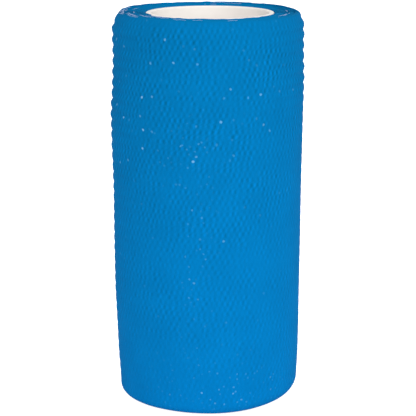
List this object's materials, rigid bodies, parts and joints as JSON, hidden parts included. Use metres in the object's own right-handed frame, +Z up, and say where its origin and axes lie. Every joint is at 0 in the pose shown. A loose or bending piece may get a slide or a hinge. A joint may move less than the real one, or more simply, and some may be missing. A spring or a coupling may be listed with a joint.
{
  "type": "cohesive bandage roll",
  "caption": "Roll of blue crinkled self-adhering bandage wound on a plain white tube, standing on its end.",
  "frame": {"origin": "middle of the roll's base, on the surface it stands on", "axes": "+Z up along the roll, -Y is the front seen in the picture, the cloth's stuck-down end is at the back near +Y"},
  "size_m": [0.0494, 0.0492, 0.1],
  "materials": {
    "cohesive_cloth": "matte crinkled cloth, bright mid blue",
    "paperboard": "matte white spiral-wound paperboard"
  },
  "bodies": {
    "root": {"bandage_roll": "cohesive_cloth", "core_tube": "paperboard"}
  },
  "joints": []
}
